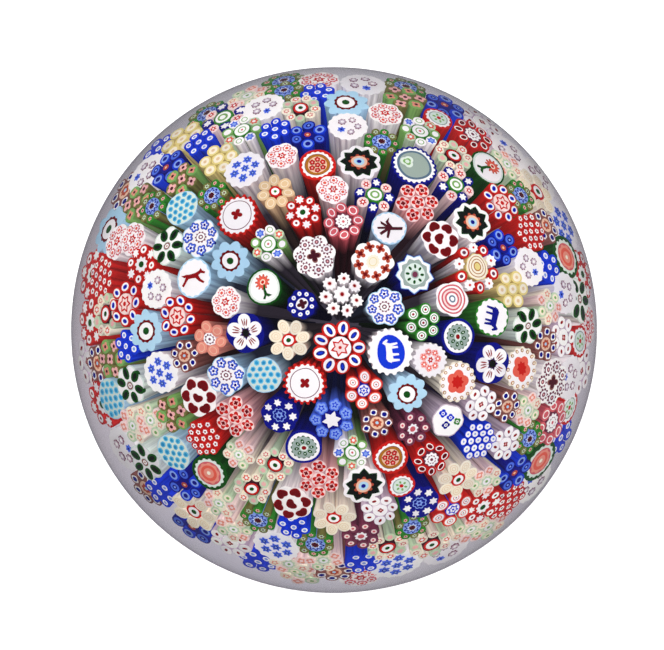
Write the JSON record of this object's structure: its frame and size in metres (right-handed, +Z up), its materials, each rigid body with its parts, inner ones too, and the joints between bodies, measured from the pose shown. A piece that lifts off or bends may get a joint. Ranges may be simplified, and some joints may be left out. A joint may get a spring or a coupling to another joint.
{
  "type": "paperweight",
  "caption": "Domed clear glass paperweight holding a close-packed ball of patterned millefiori canes, resting on a ground ring foot.",
  "frame": {"origin": "middle of the ground ring foot, on the surface the paperweight rests on", "axes": "+Z up through the top of the dome; +X and +Y are horizontal and the dome is round about +Z, so they are set by the layout of the canes"},
  "size_m": [0.08, 0.08, 0.061],
  "materials": {
    "clear_crystal": "polished",
    "white_glass": "opaque white, fire polished",
    "red_glass": "opaque red, fire polished",
    "coral_glass": "opaque coral, fire polished",
    "navy_glass": "opaque cobalt blue, fire polished",
    "bright_blue_glass": "opaque royal blue, fire polished",
    "pale_blue_glass": "opaque pale blue, fire polished",
    "dark_green_glass": "opaque green, fire polished",
    "pale_green_glass": "opaque pale green, fire polished",
    "cream_glass": "opaque cream, fire polished",
    "mauve_glass": "opaque mauve brown, fire polished"
  },
  "bodies": {
    "root": {"amber_cup": "red_glass", "black_star_disc": "white_glass", "blue_dot_rods": "bright_blue_glass", "blue_eye_rods": "red_glass", "blue_honeycomb": "bright_blue_glass", "blue_oval_silhouette": "bright_blue_glass", "blue_petals_star": "bright_blue_glass", "blue_rods": "navy_glass", "blue_star_florets": "white_glass", "brown_dot_rods": "mauve_glass", "cog_ring": "white_glass", "coral_petals": "coral_glass", "coral_ring_rods": "coral_glass", "cream_floret": "cream_glass", "cream_petals": "cream_glass", "cream_rods": "cream_glass", "crystal_dome": "clear_crystal", "floret_ring_eye": "pale_green_glass", "flower_silhouette": "dark_green_glass", "green_blue_florets": "dark_green_glass", "green_eye_cup": "dark_green_glass", "green_floret_cup": "navy_glass", "green_petal_flower": "white_glass", "green_ring_rods": "dark_green_glass", "green_star_cup": "pale_green_glass", "mauve_ring_florets": "white_glass", "mauve_rods": "mauve_glass", "navy_cup": "navy_glass", "navy_dot_cane": "navy_glass", "navy_silhouette": "dark_green_glass", "navy_star_rods": "navy_glass", "navy_white_stars": "navy_glass", "olive_rods": "mauve_glass", "pale_blue_petals": "pale_blue_glass", "pale_florets": "pale_green_glass", "pansy": "navy_glass", "pink_floret_cog": "white_glass", "pink_lobed_eye": "white_glass", "pink_oval_rods": "coral_glass", "plain_motif_cane": "white_glass", "quatrefoil_ring": "white_glass", "red_cog": "red_glass", "red_cog_rods": "coral_glass", "red_hearts": "white_glass", "red_hexagram_rods": "red_glass", "red_honeycomb": "red_glass", "red_oval_rods": "red_glass", "red_silhouette": "white_glass", "red_spiral": "coral_glass", "red_star_florets": "white_glass", "red_star_rods": "red_glass", "salmon_cup": "coral_glass", "setting_gather": "clear_crystal", "tree_silhouette": "white_glass", "turquoise_honeycomb": "pale_blue_glass", "white_blue_stars": "white_glass", "white_oval_rods": "red_glass", "white_star_rods": "white_glass", "yellow_rods": "cream_glass", "yellow_target_cluster": "coral_glass"}
  },
  "joints": []
}
